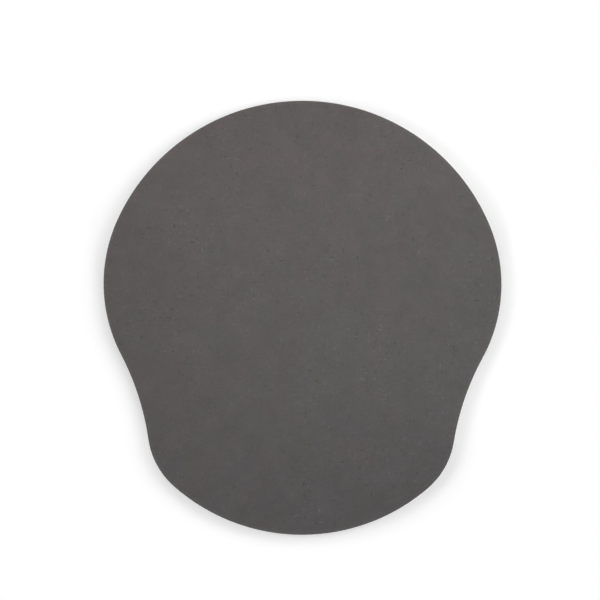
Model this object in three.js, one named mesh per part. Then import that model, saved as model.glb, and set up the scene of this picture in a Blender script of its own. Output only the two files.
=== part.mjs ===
// A flat mouse pad: cloth, foam and grip sheet glued into one board and cut out with a die.
// Millimetres, +Z up. The underside lies on z = 0, centred on the origin. The round field that
// the mouse runs on is towards +Y, and the narrower lobe under the wrist is towards -Y.

import * as THREE from 'three';

// Outline, seen from above
const padWidth = 220; // across the round field
const padLength = 240; // from the crown to the front edge of the wrist lobe
const crownSweep = 132; // degrees that the crown's arc covers
const hipRadius = 85; // the field's two sides, below the crown
const waistRadius = 147; // the hollow between a side and the lobe
const cornerRadius = 43; // the lobe's two corners
const frontRadius = 107; // the lobe's front edge
const frontSweep = 82; // degrees that the front edge's arc covers

// Layers, from the desk up
const gripThickness = 0.5;
const glueThickness = 0.125;
const foamThickness = 3.625;
const clothThickness = 0.625;

// Cut edge
const clothRoll = 0.25; // how far the die rolls the cloth's edge over
const gripRound = 0.125; // rounding of the grip sheet's edge
const foamDraw = 0.375; // how far the cut side of the foam springs in at mid height
const edgeLand = 0.125; // straight part of a rounded or drawn-in edge, at mid height
const glueSetback = 0.25; // the glue stops this far inside the cut

// Fineness of the facets
const facetLength = 5; // along the outline
const edgeSteps = 3; // from a face to the land of a rounded or drawn-in edge

// The outline is a chain of circles. Neighbours touch, so that it runs on without a corner.
// The crown and the front edge lie on the middle line; the others are those of the right half.
const halfCrown = THREE.MathUtils.degToRad(crownSweep / 2);
const halfFront = THREE.MathUtils.degToRad(frontSweep / 2);
const crownRadius = hipRadius + (padWidth / 2 - hipRadius) / Math.sin(halfCrown);
const crownCentre = new THREE.Vector2(0, padLength / 2 - crownRadius);
const frontCentre = new THREE.Vector2(0, frontRadius - padLength / 2);
const hipCentre = crownCentre.clone().add(turned(crownRadius - hipRadius, Math.PI / 2 - halfCrown));
const cornerCentre = frontCentre.clone().add(turned(frontRadius - cornerRadius, halfFront - Math.PI / 2));
const waistCentre = besideBoth(hipCentre, hipRadius + waistRadius, cornerCentre, cornerRadius + waistRadius);

// A step of the given length at an angle from +X.
function turned(length, angle) {
  return new THREE.Vector2(length * Math.cos(angle), length * Math.sin(angle));
}

// The point at these two distances from two others, on the left of the way from first to second.
function besideBoth(first, fromFirst, second, fromSecond) {
  const way = second.clone().sub(first);
  const apart = way.length();
  const along = (fromFirst ** 2 - fromSecond ** 2 + apart ** 2) / (2 * apart);
  const aside = Math.sqrt(fromFirst ** 2 - along ** 2);
  const left = new THREE.Vector2(-way.y, way.x);
  return first.clone().addScaledVector(way, along / apart).addScaledVector(left, aside / apart);
}

function direction(from, to) {
  return Math.atan2(to.y - from.y, to.x - from.x);
}

// The points of one arc without its last, which the next arc starts with.
function arcPoints(centre, radius, start, end, clockwise) {
  const arc = new THREE.EllipseCurve(centre.x, centre.y, radius, radius, start, end, clockwise);
  return arc.getPoints(Math.ceil(arc.getLength() / facetLength)).slice(0, -1);
}

// The pad's outline, drawn in by inset: the circles keep their centres, the round ones get
// smaller and the hollow one larger.
function padOutline(inset) {
  const crownToHip = direction(crownCentre, hipCentre);
  const hipToWaist = direction(hipCentre, waistCentre);
  const waistToHip = direction(waistCentre, hipCentre);
  const waistToCorner = direction(waistCentre, cornerCentre);
  const cornerToWaist = direction(cornerCentre, waistCentre);
  const frontToCorner = direction(frontCentre, cornerCentre);
  const rightSide = [
    ...arcPoints(crownCentre, crownRadius - inset, Math.PI / 2, crownToHip, true),
    ...arcPoints(hipCentre, hipRadius - inset, crownToHip, hipToWaist, true),
    ...arcPoints(waistCentre, waistRadius + inset, waistToHip, waistToCorner, false),
    ...arcPoints(cornerCentre, cornerRadius - inset, cornerToWaist, frontToCorner, true),
    ...arcPoints(frontCentre, frontRadius - inset, frontToCorner, -Math.PI / 2, true),
  ];
  const frontMiddle = new THREE.Vector2(0, inset - padLength / 2);
  const leftSide = rightSide.slice(1).reverse().map((point) => new THREE.Vector2(-point.x, point.y));
  return new THREE.Shape([...rightSide, frontMiddle, ...leftSide]);
}

// A sheet with a straight cut edge.
function cutSheet(inset, thickness) {
  return new THREE.ExtrudeGeometry(padOutline(inset), { depth: thickness, bevelEnabled: false });
}

// A sheet whose edge stands out by bulge at mid height, past its two faces. A negative bulge
// is an edge that is drawn in.
function shapedSheet(faceInset, thickness, bulge) {
  const curved = (thickness - edgeLand) / 2;
  const geometry = new THREE.ExtrudeGeometry(padOutline(faceInset), {
    depth: edgeLand,
    bevelThickness: curved,
    bevelSize: bulge,
    bevelSegments: edgeSteps,
  });
  return geometry.translate(0, 0, curved);
}

const pad = new THREE.Group();

function addLayer(name, bottom, geometry, color, roughness) {
  const material = new THREE.MeshStandardMaterial({ color, roughness, metalness: 0 });
  const layer = new THREE.Mesh(geometry, material);
  layer.name = name;
  layer.position.z = bottom;
  pad.add(layer);
}

// Grip sheet: the anti-slip underside that lies on the desk.
addLayer('grip_sheet', 0, shapedSheet(gripRound, gripThickness, gripRound), 0x2b2a2a, 0.85);

// Lower glue film: bonds the foam to the grip sheet.
const lowerGlueBottom = gripThickness;
addLayer('lower_glue_film', lowerGlueBottom, cutSheet(glueSetback, glueThickness), 0x4a463f, 0.5);

// Foam core: soft foam rubber, which springs in where the die cut it.
const foamBottom = lowerGlueBottom + glueThickness;
addLayer('foam_core', foamBottom, shapedSheet(0, foamThickness, -foamDraw), 0x242323, 0.95);

// Upper glue film: bonds the cloth to the foam.
const upperGlueBottom = foamBottom + foamThickness;
addLayer('upper_glue_film', upperGlueBottom, cutSheet(glueSetback, glueThickness), 0x4a463f, 0.5);

// Cloth facing: the matt grey cloth that the mouse runs on, with its edge rolled over.
const clothBottom = upperGlueBottom + glueThickness;
addLayer('cloth_facing', clothBottom, shapedSheet(clothRoll, clothThickness, clothRoll), 0x5d5a58, 0.95);

export default pad;
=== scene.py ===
# A flat mouse pad of grey cloth on foam, lying on a pale table and seen from straight above.
# Metres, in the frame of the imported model: +Z is up, and the wrist lobe points to -Y. The patterns
# in the materials are in millimetres.

import math

import bpy
import numpy as np
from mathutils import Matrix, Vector, noise
from mathutils.geometry import delaunay_2d_cdt
from mathutils.kdtree import KDTree


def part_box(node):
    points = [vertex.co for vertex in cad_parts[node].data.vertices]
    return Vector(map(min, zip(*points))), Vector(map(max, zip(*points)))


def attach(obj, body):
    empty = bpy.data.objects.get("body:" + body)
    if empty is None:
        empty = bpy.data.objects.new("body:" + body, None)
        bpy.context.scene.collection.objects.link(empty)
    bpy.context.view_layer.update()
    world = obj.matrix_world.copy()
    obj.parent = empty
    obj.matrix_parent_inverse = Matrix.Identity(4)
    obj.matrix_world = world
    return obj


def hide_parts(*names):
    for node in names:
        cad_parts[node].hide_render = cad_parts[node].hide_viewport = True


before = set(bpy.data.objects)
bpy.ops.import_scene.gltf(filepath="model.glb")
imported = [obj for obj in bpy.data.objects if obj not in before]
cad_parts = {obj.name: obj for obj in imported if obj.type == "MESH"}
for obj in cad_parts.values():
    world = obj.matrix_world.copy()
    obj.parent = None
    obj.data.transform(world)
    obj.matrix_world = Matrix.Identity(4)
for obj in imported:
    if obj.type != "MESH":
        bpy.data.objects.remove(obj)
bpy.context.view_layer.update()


# Grip sheet: the thin rubber skin that lies on the desk. It is pressed on an engraved drum,
# which leaves low round studs on its underside, and one die cuts it with the rest of the board.
# The desk rubs the studs smooth, and dust stays between them.
MM = 0.001
SAME_HEIGHT = 0.01 * MM
SAME_POINT_DECIMALS = 6
KNOT_STEPS = 16
CUT_STEP = 0.6 * MM
STUD_PITCH = 4 * MM
STUD_TOP = 0.95 * MM
STUD_FOOT = 1.25 * MM
STUD_HEIGHT = 0.2 * MM
STUD_SIDES = 12
STUD_CREASE = math.radians(28)
GRIP_EDGE = 0.1 * MM
EDGE_ROUND = GRIP_EDGE / 4
GRIP_FILL = 10 * MM
RUBBER_DARK = (0.021, 0.020, 0.020, 1)
RUBBER_DUSTY = (0.036, 0.035, 0.033, 1)
RUBBER_RUBBED = (0.012, 0.012, 0.012, 1)
DUST_PATCH = 18
DUST_DETAIL = 4.0
RUBBER_ROUGHNESS = 0.7
DUST_ROUGHENING = 0.2
RUB_SMOOTHING = 0.25
RUBBER_GRAIN = 0.35
RUBBER_RELIEF = 0.03 * MM


def die_line():
    """The line that the die cuts, anticlockwise, and the way out of the pad at each of its points.

    It is a smooth curve through the corners of the foam's upper face, in even steps.
    """
    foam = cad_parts["foam_core"].data
    corners = np.array([corner.co for corner in foam.vertices])
    face = corners[corners[:, 2] > corners[:, 2].max() - SAME_HEIGHT]
    knots = np.unique(np.round(face[:, :2], SAME_POINT_DECIMALS), axis=0)
    knots = knots[np.argsort(np.arctan2(knots[:, 1], knots[:, 0]))]
    before, after, beyond = (np.roll(knots, shift, axis=0) for shift in (1, -1, -2))
    stretches = []
    for part in np.linspace(0, 1, KNOT_STEPS, endpoint=False):
        bend = (2 * before - 5 * knots + 4 * after - beyond) * part ** 2
        twist = (3 * knots - before - 3 * after + beyond) * part ** 3
        stretches.append(knots + ((after - before) * part + bend + twist) / 2)
    fine = np.stack(stretches, axis=1).reshape(-1, 2)
    closed = np.vstack([fine, fine[:1]])
    travelled = np.concatenate([[0], np.cumsum(np.linalg.norm(np.diff(closed, axis=0), axis=1))])
    stops = np.linspace(0, travelled[-1], round(travelled[-1] / CUT_STEP), endpoint=False)
    points = np.stack([np.interp(stops, travelled, closed[:, axis]) for axis in (0, 1)], axis=1)
    along = np.roll(points, -1, axis=0) - np.roll(points, 1, axis=0)
    along /= np.linalg.norm(along, axis=1, keepdims=True)
    return points, np.stack([along[:, 1], -along[:, 0]], axis=1)


cut_points, cut_out = die_line()
cut_x, cut_y = cut_points.T
cut_size = np.ptp(cut_points, axis=0)


def ring(inset, height):
    """A turn round the cut, inset from it and at a height. Both may change along the cut."""
    flat = cut_points - cut_out * np.reshape(inset, (-1, 1))
    return at_height(flat, height)


def at_height(flat, height):
    """Points in the plane, lifted to one height or to a height each."""
    return np.column_stack([flat, np.broadcast_to(height, len(flat))])


def lattice(pitch, margin):
    """Points in staggered rows inside the cut, about margin or more away from it."""
    reach = np.ceil(cut_size / pitch)
    rows, places = (np.arange(-count, count + 1) for count in (reach[1], reach[0]))
    x = (places[None, :] + rows[:, None] % 2 / 2) * pitch
    y = np.broadcast_to(rows[:, None] * pitch * math.sqrt(3) / 2, x.shape)
    points = np.stack([x.ravel(), y.ravel()], axis=1)
    limit = np.interp(
        np.arctan2(points[:, 1], points[:, 0]),
        np.arctan2(cut_y, cut_x),
        np.hypot(cut_x, cut_y),
        period=2 * math.pi,
    )
    return points[np.hypot(points[:, 0], points[:, 1]) < limit - margin]


def flat_fill(pitch, height):
    """Points at one height that fill a face."""
    return at_height(lattice(pitch, pitch / 2), height)


def face_triangles(rim, rim_start, fill, fill_start):
    """Triangles, anticlockwise from above, between a rim and the points that fill it."""
    flat = [Vector(point) / MM for point in np.vstack([rim[:, :2], fill[:, :2]])]
    numbers = np.concatenate([np.arange(len(rim)) + rim_start, np.arange(len(fill)) + fill_start])
    border = [list(range(len(rim)))]
    inside_only, tolerance = 1, 1e-6
    _, _, triangles, came_from, _, _ = delaunay_2d_cdt(flat, [], border, inside_only, tolerance)
    return [[int(numbers[came_from[corner][0]]) for corner in triangle] for triangle in triangles]


def layer_piece(name, node, slot, rings, under, top):
    """A closed, smoothly shaded layer of the board that stands for its CAD node.

    The rings go round its edge from the underside to the top. The points under and top fill its
    two faces.
    """
    turn = len(cut_points)
    under_start = turn * len(rings)
    top_start = under_start + len(under)
    here = np.arange(turn)
    following = np.roll(here, -1)
    faces = []
    for level in range(len(rings) - 1):
        low, high = turn * level, turn * (level + 1)
        wall = np.stack([here + low, following + low, following + high, here + high], axis=1)
        faces.extend(wall.tolist())
    faces.extend(triangle[::-1] for triangle in face_triangles(rings[0], 0, under, under_start))
    faces.extend(face_triangles(rings[-1], under_start - turn, top, top_start))
    mesh = bpy.data.meshes.new(name)
    mesh.from_pydata(np.vstack([*rings, under, top]).tolist(), [], faces)
    mesh.shade_smooth()
    piece = bpy.data.objects.new(name, mesh)
    bpy.context.collection.objects.link(piece)
    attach(piece, "root")
    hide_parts(node)
    return piece


class Wire:
    """One output of a shader node.

    Its sums, differences and products with numbers and other wires add Math nodes.
    """

    def __init__(self, socket):
        self.socket = socket

    def node(self, kind, settings, inputs, output=0):
        """A new node beside this wire's: its settings first, then its sockets."""
        new = self.socket.id_data.nodes.new("ShaderNode" + kind)
        for name, value in settings.items():
            setattr(new, name, value)
        plug(new, inputs)
        return Wire(new.outputs[output])

    def maths(self, operation, *terms):
        """A new Math node beside this wire's, on wires and numbers."""
        return self.node("Math", {"operation": operation}, dict(enumerate(terms)))

    def __add__(self, other):
        return self.maths("ADD", self, other)

    def __sub__(self, other):
        return self.maths("SUBTRACT", self, other)

    def __rsub__(self, other):
        return self.maths("SUBTRACT", other, self)

    def __mul__(self, other):
        return self.maths("MULTIPLY", self, other)

    __radd__ = __add__
    __rmul__ = __mul__


def plug(node, inputs):
    """Sets the sockets of a node to values or wires."""
    for name, value in inputs.items():
        if isinstance(value, Wire):
            node.id_data.links.new(value.socket, node.inputs[name])
        else:
            node.inputs[name].default_value = value


def new_finish(piece, name):
    """A material on the piece: its shader, and the wire of the place on the pad in millimetres."""
    material = bpy.data.materials.new(name)
    material.use_nodes = True
    piece.data.materials.append(material)
    shader = material.node_tree.nodes["Principled BSDF"]
    place = Wire(shader.outputs["BSDF"]).node("TexCoord", {}, {}, "Object")
    return shader, place.node("VectorMath", {"operation": "SCALE"}, {0: place, "Scale": 1 / MM})


def coordinate(place, letter):
    """The X, Y or Z of a place."""
    return place.node("SeparateXYZ", {}, {"Vector": place}, letter)


def mottle(place, size, detail=2.0, roughness=0.5):
    """Soft random patches about size millimetres across, from 0 to 1 and 0.5 on average."""
    sockets = {"Vector": place, "Scale": 1 / size, "Detail": detail, "Roughness": roughness}
    return place.node("TexNoise", {}, sockets)


# The numbers of the sockets with which a Mix node mixes colours
MIX_SHARE, MIX_FIRST, MIX_SECOND, MIX_RESULT = 0, 6, 7, 2


def between(share, first, second):
    """A colour that goes from the first to the second as share goes from 0 to 1."""
    sockets = {MIX_SHARE: share, MIX_FIRST: first, MIX_SECOND: second}
    return share.node("Mix", {"data_type": "RGBA"}, sockets, MIX_RESULT)


def rise(value, start, end):
    """0 before start, 1 after end and a smooth step between them."""
    limits = {"Value": value, "From Min": start, "From Max": end}
    return value.node("MapRange", {"interpolation_type": "SMOOTHSTEP"}, limits)


def relief(height, depth):
    """A normal from a height that goes from 0 to 1 over a depth in metres."""
    return height.node("Bump", {}, {"Height": height, "Distance": depth})


def studs(bottom):
    """The corners of the studs on the underside: a turn round each stud's top and one round its foot."""
    middles = lattice(STUD_PITCH, STUD_FOOT + CUT_STEP + GRIP_EDGE)
    angles = np.arange(STUD_SIDES) * 2 * math.pi / STUD_SIDES
    spokes = np.stack([np.cos(angles), np.sin(angles)], axis=1)
    tops, feet = (
        (middles[:, None, :] + spokes * radius).reshape(-1, 2) for radius in (STUD_TOP, STUD_FOOT)
    )
    return np.vstack([at_height(tops, bottom), at_height(feet, bottom + STUD_HEIGHT)])


grip_bottom, grip_top = (corner[2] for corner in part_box("grip_sheet"))
grip_skin = grip_bottom + STUD_HEIGHT
grip_sheet = layer_piece(
    "grip_sheet_skin",
    "grip_sheet",
    "grip_rubber",
    [
        ring(GRIP_EDGE, grip_skin),
        ring(EDGE_ROUND, grip_skin + EDGE_ROUND),
        ring(0, grip_skin + GRIP_EDGE),
        ring(0, grip_top - GRIP_EDGE),
        ring(EDGE_ROUND, grip_top - EDGE_ROUND),
        ring(GRIP_EDGE, grip_top),
    ],
    studs(grip_bottom),
    flat_fill(GRIP_FILL, grip_top),
)
grip_sheet.data.set_sharp_from_angle(angle=STUD_CREASE)

rubber, place = new_finish(grip_sheet, "grip_rubber")
dust = mottle(place, DUST_PATCH, DUST_DETAIL)
rubbed = rise(coordinate(place, "Z"), grip_skin / MM, grip_bottom / MM)
plug(rubber, {
    "Base Color": between(rubbed, between(dust, RUBBER_DARK, RUBBER_DUSTY), RUBBER_RUBBED),
    "Roughness": RUBBER_ROUGHNESS + DUST_ROUGHENING * dust - RUB_SMOOTHING * rubbed,
    "Normal": relief(mottle(place, RUBBER_GRAIN), RUBBER_RELIEF),
    "Specular IOR Level": 0.4,
})


# Glue films: the cured glue between the grip sheet and the foam, and between the foam and the
# cloth. Each is rolled on wet and stops in a slightly wavy line just inside the cut.
GLUE_SETBACK = 0.2 * MM
GLUE_WAVE = 0.15 * MM
GLUE_WAVE_LENGTH = 6 * MM
GLUE_BULGE = 0.03 * MM
GLUE_FILL = 10 * MM
GLUE_DARK = (0.060, 0.053, 0.043, 1)
GLUE_PALE = (0.078, 0.069, 0.057, 1)
GLUE_CLOUD = 4
GLUE_ROUGHNESS = 0.42
GLUE_ROUGHENING = 0.2
GLUE_GRAIN = 0.6
GLUE_RELIEF = 0.02 * MM


def ripple(points, length, start=0.0):
    """Smooth random values from -1 to 1 at points in the plane, for waves of about that length."""
    return np.array([noise.noise(Vector((x / length, y / length, start))) for x, y in points])


def glue_film(node, wave_start):
    """One film of glue. Its wave starts at a place of its own, so that the two differ."""
    bottom, top = (corner[2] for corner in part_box(node))
    inset = GLUE_SETBACK + GLUE_WAVE * (1 + ripple(cut_points, GLUE_WAVE_LENGTH, wave_start)) / 2
    edge = [ring(inset, bottom), ring(inset - GLUE_BULGE, (bottom + top) / 2), ring(inset, top)]
    faces = (flat_fill(GLUE_FILL, height) for height in (bottom, top))
    film = layer_piece(node + "_skin", node, "cured_glue", edge, *faces)
    glue, place = new_finish(film, node + "_finish")
    cloud = mottle(place, GLUE_CLOUD)
    plug(glue, {
        "Base Color": between(cloud, GLUE_DARK, GLUE_PALE),
        "Roughness": GLUE_ROUGHNESS + GLUE_ROUGHENING * cloud,
        "Normal": relief(mottle(place, GLUE_GRAIN), GLUE_RELIEF),
    })


glue_film("lower_glue_film", wave_start=0.0)
glue_film("upper_glue_film", wave_start=7.5)


# Foam core: a sheet of soft sponge rubber with fine cells, which gives the pad its thickness.
# The die presses it flat as it cuts, so that the cut side springs back hollow and shows its cells.
FOAM_HOLLOW = 0.35 * MM
HOLLOW_POWER = 0.8
FOAM_LEVELS = 13
FOAM_FILL = 8 * MM
PORE_SIZE = 0.7 * MM
PORE_DEPTH = 0.09 * MM
PORE_GROWTH = 4
CELL_SIZE = 0.38
WALL_GAIN = 1.4
FOAM_PIT_SHADE = (0.008, 0.008, 0.008, 1)
FOAM_WALL = (0.026, 0.025, 0.025, 1)
PIT_ROUGHNESS = 0.98
WALL_SMOOTHING = 0.12
CELL_RELIEF = 0.1 * MM


def foam_ring(up):
    """One turn round the foam's hollow side, up from 0 to 1, roughened by the cells that were cut open."""
    height = foam_bottom + (foam_top - foam_bottom) * up
    inside = math.sin(math.pi * up)
    pores = ripple(cut_points, PORE_SIZE, height / PORE_SIZE) * min(1, PORE_GROWTH * inside)
    return ring(FOAM_HOLLOW * inside ** HOLLOW_POWER + PORE_DEPTH * pores, height)


foam_bottom, foam_top = (corner[2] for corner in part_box("foam_core"))
foam_core = layer_piece(
    "foam_core_sponge",
    "foam_core",
    "foam_rubber",
    [foam_ring(level / (FOAM_LEVELS - 1)) for level in range(FOAM_LEVELS)],
    flat_fill(FOAM_FILL, foam_bottom),
    flat_fill(FOAM_FILL, foam_top),
)

sponge, place = new_finish(foam_core, "foam_rubber")
# The pits of the cells are painted darker than their walls: painted shade in the hollows. The bump below
# gives their relief.
cell = place.node("TexVoronoi", {"feature": "SMOOTH_F1"}, {"Vector": place, "Scale": 1 / CELL_SIZE})
wall = cell.maths("MINIMUM", WALL_GAIN * cell, 1)
plug(sponge, {
    "Base Color": between(wall, FOAM_PIT_SHADE, FOAM_WALL),
    "Roughness": PIT_ROUGHNESS - WALL_SMOOTHING * wall,
    "Normal": relief(wall, CELL_RELIEF),
    "Specular IOR Level": 0.3,
})


# Cloth facing: a fine knitted cloth with a brushed, matt face, glued on as a flat web. The die
# rolls its edge over, and along the cut its threads end raggedly. Its face is painted lighter
# within about 3 mm of the cut, a painted highlight, and right at the cut it is painted darker, a
# painted shade. Its dye has taken a little warmer at the upper left and a little bluer at the end
# of the lobe.
CLOTH_ROLL = 0.3 * MM
ROLL_STEPS = 6
RIM_INSETS = (0.7 * MM, 1.3 * MM, 2 * MM)
FACE_PITCH = 2 * MM
FACE_MARGIN = 3.5 * MM
BACK_FILL = 8 * MM
CLOTH_WAVE = 0.05 * MM
CLOTH_WAVE_LENGTH = 14 * MM
FRAY = 0.05 * MM
FRAY_LENGTH = 0.8 * MM
WALE = 0.65
COURSE = 0.5
LOOP_BEND = 2
NAP_WIDTH = 0.25
NAP_LENGTH = 0.7
NAP_DETAIL = 3.0
NAP_TONE = 0.57
SLUB_LENGTH = 3.5
SLUB_WIDTH = 1.1
SLUB_PATCH = 30
PATCHINESS = 3
PALE_SLUB = (0.626, 0.85)
DARK_SLUB = (0.382, 0.135)
SLUB_TONE = 0.58
CLOUD_SIZE = 14
CLOUD_DETAIL = 6.0
CLOUD_ROUGHNESS = 0.85
CLOUDING = 0.6
HIGHLIGHT_RIM = (2.8, 0.5)
PAINTED_RIM_HIGHLIGHT = 0.09
CUT_RIM = (0.25, 0.02)
CUT_SHADE = 0.25
DYE_PATCH = 10
DYE_DETAIL = 3.0
WARM_GREY = (0.0946, 0.0839, 0.0820, 1)
COOL_GREY = (0.0905, 0.0860, 0.0819, 1)
COOL_DRIFT = (0.0011, -0.0014, 0)
COOL_LIMITS = (0.35, 0.54)
BLUE_GREY = (0.0886, 0.0842, 0.0859, 1)
BLUE_DRIFT = (0.0008, -0.0026, 0)
BLUE_LIMITS = (0.66, 0.8)
CLOTH_ROUGHNESS = 0.86
NAP_ROUGHENING = 0.12
KNIT_RELIEF = 0.5
SLUB_RELIEF = 0.3
CLOTH_RELIEF = 0.04 * MM


def cloth_height(points):
    """The height of the cloth's face, which lies very slightly wavy and nowhere above its top."""
    return cloth_top - CLOTH_WAVE * (1 - ripple(points, CLOTH_WAVE_LENGTH)) / 2


def cloth_rings():
    """Turns from the cloth's underside, up its cut edge, over its roll and on to its face."""
    fray = FRAY * ripple(cut_points, FRAY_LENGTH)
    rings = [ring(0, cloth_bottom), ring(fray, (cloth_bottom + cloth_top - CLOTH_ROLL) / 2)]
    for step in range(ROLL_STEPS):
        turn = math.pi / 2 * step / ROLL_STEPS
        inset = CLOTH_ROLL * (1 - math.cos(turn)) + fray * math.cos(turn)
        rings.append(ring(inset, cloth_top - CLOTH_WAVE / 2 - CLOTH_ROLL * (1 - math.sin(turn))))
    for inset in RIM_INSETS:
        rings.append(ring(inset, cloth_height(ring(inset, 0)[:, :2])))
    return rings


cloth_bottom, cloth_top = (corner[2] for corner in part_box("cloth_facing"))
cloth_points = lattice(FACE_PITCH, FACE_MARGIN)
cloth_facing = layer_piece(
    "cloth_facing_web",
    "cloth_facing",
    "brushed_cloth",
    cloth_rings(),
    flat_fill(BACK_FILL, cloth_bottom),
    at_height(cloth_points, cloth_height(cloth_points)),
)

cut_tree = KDTree(len(cut_points))
for number, point in enumerate(at_height(cut_points, 0)):
    cut_tree.insert(point, number)
cut_tree.balance()
from_cut = cloth_facing.data.attributes.new("from_cut", "FLOAT", "POINT")
for corner, stored in zip(cloth_facing.data.vertices, from_cut.data):
    stored.value = cut_tree.find((corner.co.x, corner.co.y, 0))[2] / MM


def stretched(place, across, along):
    """The place with its two directions in the plane divided by lengths in millimetres."""
    lengths = (1 / across, 1 / along, 1)
    return place.node("VectorMath", {"operation": "MULTIPLY"}, {0: place, 1: lengths})


def slubs(place, across, along):
    """Odd thick places in the yarn, about that size: above 0 where they are pale, below where dark."""
    yarn = mottle(stretched(place, across, along), 1)
    return rise(yarn, *PALE_SLUB) - rise(yarn, *DARK_SLUB)


def slope(place, growth):
    """A value that is 0 at the pad's middle and grows by so much per millimetre along each axis."""
    return place.node("VectorMath", {"operation": "DOT_PRODUCT"}, {0: place, 1: growth}, "Value")


cloth, place = new_finish(cloth_facing, "brushed_cloth")
rib = coordinate(place, "X") * (math.pi / WALE)
rib = rib.maths("ABSOLUTE", rib.maths("SINE", rib))
loop = coordinate(place, "Y") * (2 * math.pi / COURSE) + LOOP_BEND * rib
loop = 0.5 + 0.5 * loop.maths("SINE", loop)
nap = mottle(stretched(place, NAP_WIDTH, NAP_LENGTH), 1, NAP_DETAIL)
slub = slubs(place, SLUB_LENGTH, SLUB_WIDTH) + slubs(place, SLUB_WIDTH, SLUB_LENGTH)
slub = slub * (1 + PATCHINESS * (mottle(place, SLUB_PATCH) - 0.5))
cloud = mottle(place, CLOUD_SIZE, CLOUD_DETAIL, CLOUD_ROUGHNESS)
rim = place.node("Attribute", {"attribute_name": "from_cut"}, {}, "Fac")
tone = 1 + CLOUDING * (cloud - 0.5) + NAP_TONE * (nap - 0.5) + SLUB_TONE * slub
# Painted highlight: the face is lightened within about 3 mm of the cut. Painted shade: it is darkened
# right at the cut.
tone = tone + PAINTED_RIM_HIGHLIGHT * rise(rim, *HIGHLIGHT_RIM) - CUT_SHADE * rise(rim, *CUT_RIM)
dye = mottle(place, DYE_PATCH, DYE_DETAIL)
grey = between(rise(dye + slope(place, COOL_DRIFT), *COOL_LIMITS), WARM_GREY, COOL_GREY)
grey = between(rise(dye + slope(place, BLUE_DRIFT), *BLUE_LIMITS), grey, BLUE_GREY)
times = {"data_type": "RGBA", "blend_type": "MULTIPLY"}
dyed = grey.node("Mix", times, {MIX_SHARE: 1.0, MIX_FIRST: grey, MIX_SECOND: tone}, MIX_RESULT)
plug(cloth, {
    "Base Color": dyed,
    "Roughness": CLOTH_ROUGHNESS + NAP_ROUGHENING * nap,
    "Normal": relief(KNIT_RELIEF * rib * loop + nap + SLUB_RELIEF * slub, CLOTH_RELIEF),
    "Specular IOR Level": 0.25,
    "Sheen Weight": 0.15,
    "Sheen Roughness": 0.5,
})


# Table: a plain pale board under the pad, which keeps the pad's shadow. To the eye it is lifted
# to white, most in front, where the least light falls, and it goes over into a white sweep.
TABLE_SIDE = 6
TABLE_GAP = 0.02 * MM
TABLE_COLOUR = (0.783, 0.783, 0.783, 1)
TABLE_LIFT = 0.299
LIFT_SLOPE = (-0.00019, -0.000666, 0)
SWEEP_START = 128
SWEEP_END = 160
WHITE = (1, 1, 1, 1)


def seen_rays(wire):
    """1 for the rays that show the background: straight on, mirrored or through glass."""
    camera, glossy, through = (
        wire.node("LightPath", {}, {}, ray)
        for ray in ("Is Camera Ray", "Is Glossy Ray", "Is Transmission Ray")
    )
    return camera.maths("MAXIMUM", camera, camera.maths("MAXIMUM", glossy, through))


half = TABLE_SIDE / 2
table_mesh = bpy.data.meshes.new("table")
table_corners = [(-half, -half, 0), (half, -half, 0), (half, half, 0), (-half, half, 0)]
table_mesh.from_pydata(table_corners, [], [(0, 1, 2, 3)])
table = bpy.data.objects.new("table", table_mesh)
table.location.z = -TABLE_GAP
bpy.context.collection.objects.link(table)

board, place = new_finish(table, "pale_table")
plug(board, {"Base Color": TABLE_COLOUR, "Roughness": 1.0, "Specular IOR Level": 0.0})
lit = Wire(board.outputs["BSDF"])
white = place.node("Emission", {}, {"Color": WHITE, "Strength": 1.0})
glow = place.node("MixShader", {}, {0: TABLE_LIFT + slope(place, LIFT_SLOPE), 2: white})
lifted = place.node("AddShader", {}, {0: lit, 1: glow})
distance = place.node("VectorMath", {"operation": "LENGTH"}, {0: place}, "Value")
shown = place.node("MixShader", {}, {0: rise(distance, SWEEP_START, SWEEP_END), 1: lifted, 2: white})
surface = place.node("MixShader", {}, {0: seen_rays(place), 1: lit, 2: shown})
plug(board.id_data.nodes["Material Output"], {"Surface": surface})


# Light: large soft boxes to the right, to the left and behind, a small low one in front, one with
# a grid overhead, and a weak even sky. A level face under them shows a colour about as it is
# written.
SKY = 0.0147


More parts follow.
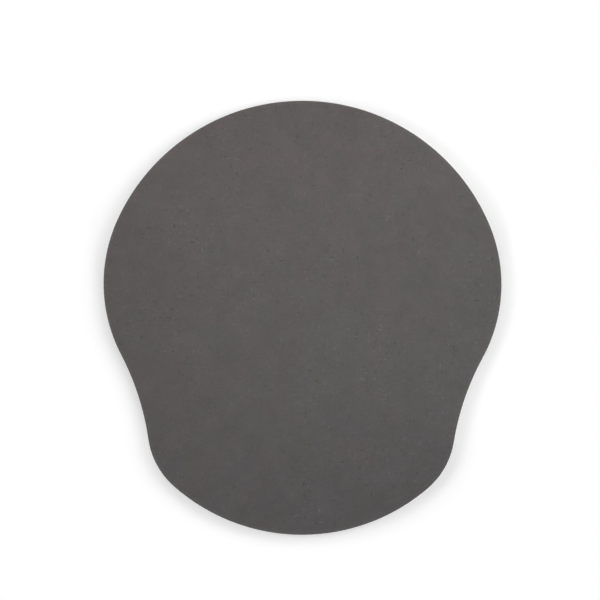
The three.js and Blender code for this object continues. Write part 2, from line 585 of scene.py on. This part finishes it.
def soft_box(name, aim, azimuth, elevation, distance, side, watts, grid=180):
    """A square box that faces the point on the pad's middle line where Y is aim.

    The azimuth and elevation, seen from that point, and the angle to which a grid narrows its light
    are in degrees.
    """
    turn, tilt = math.radians(azimuth), math.radians(elevation)
    lamp = bpy.data.lights.new(name, "AREA")
    lamp.size = side
    lamp.spread = math.radians(grid)
    lamp.energy = watts
    box = bpy.data.objects.new(name, lamp)
    way = Vector((math.cos(tilt) * math.cos(turn), math.cos(tilt) * math.sin(turn), math.sin(tilt)))
    box.location = way * distance + Vector((0, aim, 0))
    box.rotation_euler = way.to_track_quat("Z", "Y").to_euler()
    box.visible_camera = False
    bpy.context.collection.objects.link(box)


soft_box("right_box", 0.186, azimuth=-8.3, elevation=31.1, distance=0.560, side=0.367, watts=2.314)
soft_box("left_box", -0.033, azimuth=-177.9, elevation=20.5, distance=1.148, side=0.837, watts=11.18)
soft_box("back_box", 0.040, azimuth=107.0, elevation=30.8, distance=0.404, side=0.395, watts=1.10)
soft_box("front_box", 0.051, azimuth=-85.7, elevation=5.5, distance=0.519, side=0.080, watts=1.473)
soft_box("top_box", 0.016, azimuth=9.9, elevation=56.6, distance=0.328, side=0.180, watts=0.01913, grid=24)

world = bpy.data.worlds.new("studio")
world.use_nodes = True
bpy.context.scene.world = world
sky = world.node_tree.nodes["Background"]
seen = seen_rays(Wire(sky.outputs["Background"]))
plug(sky, {"Color": WHITE, "Strength": SKY + (1 - SKY) * seen})


# Camera: straight above the pad, turned a little against it as in the photograph. It stands so
# far off that one pixel of the picture covers PIXEL of the cloth's face.
PICTURE = 600
PIXEL = 0.5527 * MM
PAD_MIDDLE = (302.2, 317.8)
PAD_TURN = 0.009
LENS = 100
SENSOR = 36

lens = bpy.data.cameras.new("camera")
lens.lens = LENS
lens.sensor_width = SENSOR
camera = bpy.data.objects.new("camera", lens)
camera.rotation_euler = (0, 0, PAD_TURN)
aside = Vector((PICTURE / 2 - PAD_MIDDLE[0], PAD_MIDDLE[1] - PICTURE / 2, 0)) * PIXEL
aside.rotate(camera.rotation_euler)
camera.location = aside + Vector((0, 0, cloth_top + PICTURE * PIXEL * LENS / SENSOR))
bpy.context.collection.objects.link(camera)
bpy.context.scene.camera = camera
bpy.context.scene.view_settings.view_transform = "Standard"
